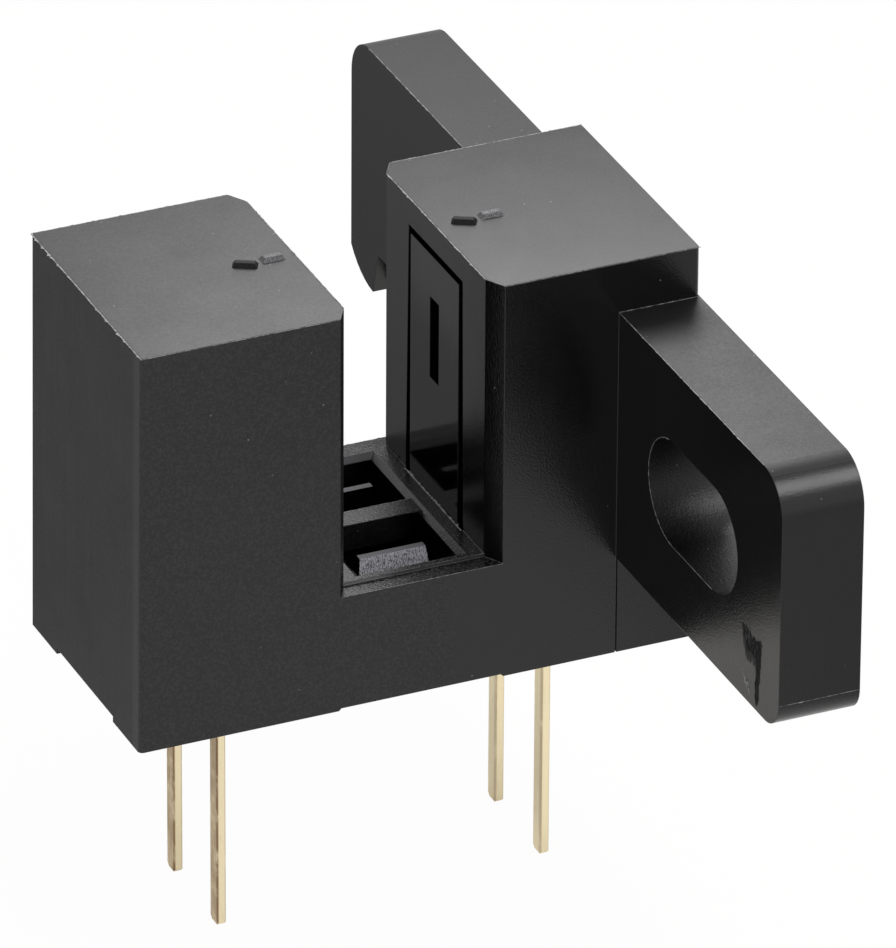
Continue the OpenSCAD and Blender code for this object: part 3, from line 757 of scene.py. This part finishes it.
class SWITCH_OT_add_flash(bpy.types.Operator):
    """Runs ragged moulding flash along the edges of the towers, the slot floor and the ears"""

    bl_idname = "switch.add_flash"
    bl_label = "Add flash"

    def execute(self, context):
        s = context.scene.switch_flash
        chance = random.Random(s.seed)
        # The fins are real flash; their pale colour is a painted glint.
        finish = flash_glint_finish(s)
        runs = {"tower_flash": self.tower, "floor_flash": self.floor, "ear_flash": self.ear}
        for name, edges in runs.items():
            shape = bmesh.new()
            for ends, normals, convex, height, lean in edges(context.scene.switch_shape):
                add_fin(shape, ends, normals, convex, height * MM, lean, s, chance)
            bmesh.ops.recalc_face_normals(shape, faces=list(shape.faces))
            new_piece(name, shape).data.materials.append(finish)
        return {"FINISHED"}

    def tower(self, s):
        """Edges of the towers' tops: ends, face normals, whether it stands out, height in mm and lean."""
        top = s.tower_top
        up = (0, 0, 1)
        fins = []
        for x, half, facing, height, lean in (
            (-s.tower_x, s.tower_y, -1, 0.06, 0.6),
            (s.slot_x, s.mouth_y, -1, 0.055, 0.5),
            (-s.slot_x, s.mouth_y, 1, 0.012, 0),
        ):
            fins.append((((x, -half, top), (x, half, top)), ((facing, 0, 0), up), True, height, lean))
        for side, height in ((-1, 0.03), (1, 0.012)):
            out = (0, side, 0)
            y = side * s.tower_y
            fins.append((((-s.tower_x, y, top), (-s.mouth_x, y, top)), (out, up), True, height, 0))
            fins.append((((s.mouth_x, y, top), (s.tower_x, y, top)), (out, up), True, height, 0))
            slope = (s.mouth_y - s.tower_y, side * (s.slot_x - s.mouth_x), 0)
            bevel = ((s.slot_x, side * s.mouth_y, top), (s.mouth_x, y, top))
            fins.append((bevel, (slope, up), True, 0.03, 0))
        return fins

    def floor(self, s):
        """Edges of the slot floor's grid."""
        up = (0, 0, 1)
        z = s.floor_z
        lip = z - s.lip_drop
        notch = ((s.notch_x, -s.notch_y, z), (s.notch_x, s.notch_y, z))
        fins = [(notch, ((1, 0, 0), up), True, 0.06, 0)]
        for side, height in ((-1, 0.06), (1, 0.012)):
            out = (0, side, 0)
            y, inner = side * s.tower_y, side * s.mouth_y
            fins.append((((-s.mouth_x, y, lip), (s.mouth_x, y, lip)), (out, up), True, height, 0.3))
            fins.append((((-s.slot_x, inner, z), (s.slot_x, inner, z)), (out, up), True, height / 2, 0))
            wall = ((s.slot_x, inner, z), (s.slot_x, side * s.notch_y, z))
            fins.append((wall, ((-1, 0, 0), up), False, 0.04, 0))
            slope = (s.mouth_y - s.tower_y, side * (s.slot_x - s.mouth_x), 0)
            fins.append((((s.slot_x, inner, lip), (s.mouth_x, y, lip)), (slope, up), False, 0.04, 0))
            rib = ((-s.rib_x, side * s.rib_y, s.rib_z), (s.rib_x, side * s.rib_y, s.rib_z))
            fins.append((rib, (out, up), True, height, 0))
        return fins

    def ear(self, s):
        """Edges of the ears: the joints with the tower, the inner top edges and the parting lines."""
        up = (0, 0, 1)
        inward = (-1, 0, 0)
        end = s.ear_y - s.ear_corner
        fins = []
        for side in (-1, 1):
            out = (0, side, 0)
            y = side * s.tower_y
            fins.append((((s.ear_x, y, s.ear_top), (s.tower_x, y, s.ear_top)), (out, up), False, 0.04, 0))
            inner = ((s.ear_x, y, s.ear_top), (s.ear_x, side * end, s.ear_top))
            fins.append((inner, (inward, up), True, 0.04, 0.3))
            parting = ((s.ear_x, side * s.ear_y, s.parting_z), (s.tower_x, side * s.ear_y, s.parting_z))
            fins.append((parting, ((0, side, 1), (0, side, -1)), True, 0.025, 0))
            fins.extend(self.hole_rim(s, side))
        return fins

    def hole_rim(self, s, side):
        """The rim of one hole's inner end and lower side, where the pale fin paints the edge highlight."""
        round_end = [math.radians(degrees) for degrees in range(80, -91, -10)]
        rim = [(s.hole_half + s.hole_r * math.cos(turn), s.hole_r * math.sin(turn)) for turn in round_end]
        rim.append((-s.hole_half, -s.hole_r))
        fins = []
        for start, stop in zip(rim, rim[1:]):
            ends = [(s.ear_x, side * (s.hole_y - u), s.hole_z + v) for u, v in (start, stop)]
            u, v = ((a + b) / 2 for a, b in zip(start, stop))
            fins.append((ends, ((-1, 0, 0), (0, side * (u - min(u, s.hole_half)), -v)), True, 0.02, 0))
        return fins


class SWITCH_OT_add_gate_mark(bpy.types.Operator):
    """Leaves the torn mark of the moulding gate low on the front ear's inner face"""

    bl_idname = "switch.add_gate_mark"
    bl_label = "Add gate mark"

    def execute(self, context):
        s = context.scene.switch_gate
        cover = context.scene.switch_cover
        face_x = context.scene.switch_shape.ear_x
        dull = mark_finish("gate_dull_plastic", s.torn, cover, s.dull_shine)
        torn = mark_finish("gate_torn_plastic", s.torn, cover, s.torn_shine)
        # The scrape streaks take the flash's pale colour, the painted glint.
        pale = flash_glint_finish(context.scene.switch_flash)
        block = (80, (-1, 1), (0.1, 0.55), 0.25)
        core = (45, (-0.8, 0.9), (0.12, 0.45), 0.2)
        tail = (60, (-1, -0.4), (0.15, 1), 0.3)
        streaks = (8, (1.2, 2.6), (0.66, 0.95), 0.25)
        chance = random.Random(s.seed)
        self.add_shreds("gate_smudge", s, face_x, [block, tail], 1.6, 0.3, dull, chance)
        self.add_shreds("gate_tear", s, face_x, [core, tail], 0.8, 1, torn, chance)
        self.add_shreds("gate_scrape", s, face_x, [streaks], 0.7, 1, pale, chance)
        return {"FINISHED"}

    def add_shreds(self, name, s, face_x, areas, width, lift, finish, chance):
        """Lays upright shreds in areas of the mark: count, shares of the width and the height, longest."""
        out = Vector((-1, 0, 0))
        shape = bmesh.new()
        for count, across, down, longest in areas:
            for _ in range(count):
                side = chance.uniform(*across)
                first = chance.uniform(down[0], down[1] - 0.1)
                last = min(down[1], first + longest * chance.uniform(0.4, 1))
                ends = [self.place(s, face_x, side, way) for way in (first, last)]
                half = s.shred * width * chance.uniform(0.4, 1)
                add_sliver(shape, *ends, out, half, s.height * lift * chance.uniform(0.5, 1))
        bmesh.ops.recalc_face_normals(shape, faces=list(shape.faces))
        new_piece(name, shape).data.materials.append(finish)

    def place(self, s, face_x, side, way):
        """A place on the ear's face, at a share of the mark's half width and of the way down."""
        half = s.top_half + (s.low_half - s.top_half) * way
        return Vector((face_x, s.middle_y - s.drift * way + side * half, s.top_z + (s.low_z - s.top_z) * way))


class SWITCH_OT_set_stage(bpy.types.Operator):
    """Sets the floor, the light and the camera"""

    bl_idname = "switch.set_stage"
    bl_label = "Set stage"

    def execute(self, context):
        s = context.scene.switch_stage
        self.set_view(context.scene)
        self.add_floor(context.scene, s)
        self.set_sky(context.scene, s)
        far = s.card_reach
        left_corners = (-far, s.left_card_y), (s.left_card_x, far)
        rear_corners = (s.left_card_x, s.rear_card_y), (s.rear_card_x, far)
        front_corners = (s.front_card_x, -far), (far, s.front_card_y)
        card_z = LEAD_TIP_Z + s.card_lift
        self.add_card(context.scene, "left_card", s.left_card, card_z, *left_corners)
        self.add_card(context.scene, "rear_card", s.rear_card, card_z, *rear_corners)
        self.add_card(context.scene, "front_card", s.front_card, card_z, *front_corners)
        self.add_softbox(context.scene, "back_softbox", s.softbox, s.softbox_place, s.softbox_size)
        self.add_softbox(context.scene, "key_softbox", s.key, s.key_place, s.key_size)
        self.add_camera(context.scene, s)
        return {"FINISHED"}

    def set_view(self, scene):
        scene.view_settings.view_transform = "Standard"

    def seen(self, nodes, camera_share, reflected_share):
        """How far a surface is lifted to white, by the kind of ray that meets it."""
        ray = nodes.add("ShaderNodeLightPath", output="Is Camera Ray")
        bounced = ray.output("Is Glossy Ray").most(ray.output("Is Transmission Ray"))
        return (ray * camera_share).most(bounced * reflected_share)

    def add_sheet(self, scene, name, corners):
        """A flat sheet that belongs to the stage."""
        mesh = bpy.data.meshes.new(name)
        mesh.from_pydata(corners, [], [range(len(corners))])
        sheet = bpy.data.objects.new(name, mesh)
        scene.collection.objects.link(sheet)
        return sheet

    def add_card(self, scene, name, tint, z, low, high):
        """A grey card on the floor, between two corners, which only reflections show."""
        outline = [low, (high[0], low[1]), high, (low[0], high[1])]
        card = self.add_sheet(scene, name, [(x, y, z) for x, y in outline])
        card.visible_camera = False
        card.visible_diffuse = False
        card.visible_transmission = False
        card.visible_shadow = False
        material, n = new_finish(name + "_grey")
        grey = n.add("ShaderNodeEmission", sockets={"Color": solid(tint), "Strength": 1.0})
        n.add("ShaderNodeOutputMaterial", sockets={"Surface": grey})
        card.data.materials.append(material)

    def add_floor(self, scene, s):
        half = s.floor_size / 2
        around = [(-half, -half), (half, -half), (half, half), (-half, half)]
        floor = self.add_sheet(scene, "floor", [(x, y, LEAD_TIP_Z) for x, y in around])
        material, n = new_finish("floor_pale")
        lit = n.add("ShaderNodeBsdfDiffuse", sockets={"Color": solid(s.floor)})
        white = n.add("ShaderNodeEmission", sockets={"Strength": 1.0})
        rear = n.split(n.place())[1].smooth(s.fade_front / MM, s.fade_rear / MM)
        lifted = self.seen(n, s.white_share, s.front_share + rear * (s.rear_share - s.front_share))
        mixed = n.add("ShaderNodeMixShader", sockets={0: lifted, 1: lit, 2: white})
        n.add("ShaderNodeOutputMaterial", sockets={"Surface": mixed})
        floor.data.materials.append(material)

    def set_sky(self, scene, s):
        scene.world = scene.world or bpy.data.worlds.new("studio")
        scene.world.use_nodes = True
        n = Nodes(scene.world.node_tree)
        even = n.add("ShaderNodeBackground", sockets={"Color": solid((1, 1, 1)), "Strength": s.sky})
        white = n.add("ShaderNodeBackground", sockets={"Color": solid((1, 1, 1)), "Strength": 1.0})
        mixed = n.add("ShaderNodeMixShader", sockets={0: self.seen(n, 1.0, 1.0), 1: even, 2: white})
        n.add("ShaderNodeOutputWorld", sockets={"Surface": mixed})

    def add_softbox(self, scene, name, radiance, place, size):
        """A square lamp of that radiance, which looks at the middle of the part."""
        lamp = bpy.data.lights.new(name, "AREA")
        lamp.shape = "SQUARE"
        lamp.size = size
        lamp.energy = radiance * math.pi * lamp.size**2
        box = bpy.data.objects.new(name, lamp)
        box.location = place
        middle = (CAD_BOX[0] + CAD_BOX[1]) / 2
        box.rotation_euler = (middle - box.location).to_track_quat("-Z", "Y").to_euler()
        scene.collection.objects.link(box)

    def add_camera(self, scene, s):
        view = bpy.data.cameras.new("camera")
        view.lens = s.focal
        camera = bpy.data.objects.new("camera", view)
        turn = Matrix.Rotation(s.azimuth, 4, "Z") @ Matrix.Rotation(math.pi / 2 - s.elevation, 4, "X")
        back = turn.to_3x3() @ Vector((0, 0, 1))
        aim = Vector((s.aim_x, 0, s.aim_z))
        place = Matrix.Translation(aim + back * s.distance)
        camera.matrix_world = place @ turn @ Matrix.Rotation(s.roll, 4, "Z")
        scene.collection.objects.link(camera)
        scene.camera = camera


class VIEW3D_PT_slotted_switch(bpy.types.Panel):
    """Lists the steps that dress the switch, and their settings"""

    bl_idname = "VIEW3D_PT_slotted_switch"
    bl_label = "Slotted switch"
    bl_space_type = "VIEW_3D"
    bl_region_type = "UI"
    bl_category = "Switch"

    def draw(self, context):
        for operator in OPERATORS:
            self.layout.operator(operator.bl_idname)
        for name in SETTINGS:
            box = self.layout.box()
            group = getattr(context.scene, name)
            for key in group.__annotations__:
                box.prop(group, key)


SETTINGS = {
    "switch_shape": SwitchShapeSettings,
    "switch_cover": SwitchCoverSettings,
    "switch_flash": SwitchFlashSettings,
    "switch_gate": SwitchGateSettings,
    "switch_holder": SwitchHolderSettings,
    "switch_leads": SwitchLeadSettings,
    "switch_packages": SwitchPackageSettings,
    "switch_marks": SwitchMarkSettings,
    "switch_stage": SwitchStageSettings,
}
OPERATORS = (
    SWITCH_OT_dress_cover,
    SWITCH_OT_dress_holder,
    SWITCH_OT_dress_leads,
    SWITCH_OT_dress_packages,
    SWITCH_OT_add_axis_marks,
    SWITCH_OT_add_flash,
    SWITCH_OT_add_gate_mark,
    SWITCH_OT_set_stage,
)


def register():
    for cls in (*SETTINGS.values(), *OPERATORS, VIEW3D_PT_slotted_switch):
        bpy.utils.register_class(cls)
    for name, cls in SETTINGS.items():
        setattr(bpy.types.Scene, name, bpy.props.PointerProperty(type=cls))


def unregister():
    for name in SETTINGS:
        delattr(bpy.types.Scene, name)
    for cls in reversed((*SETTINGS.values(), *OPERATORS, VIEW3D_PT_slotted_switch)):
        bpy.utils.unregister_class(cls)


def main():
    register()
    bpy.ops.switch.dress_cover()
    bpy.ops.switch.dress_holder()
    bpy.ops.switch.dress_leads()
    bpy.ops.switch.dress_packages()
    bpy.ops.switch.add_axis_marks()
    bpy.ops.switch.add_flash()
    bpy.ops.switch.add_gate_mark()
    bpy.ops.switch.set_stage()


if __name__ == "__main__":
    main()
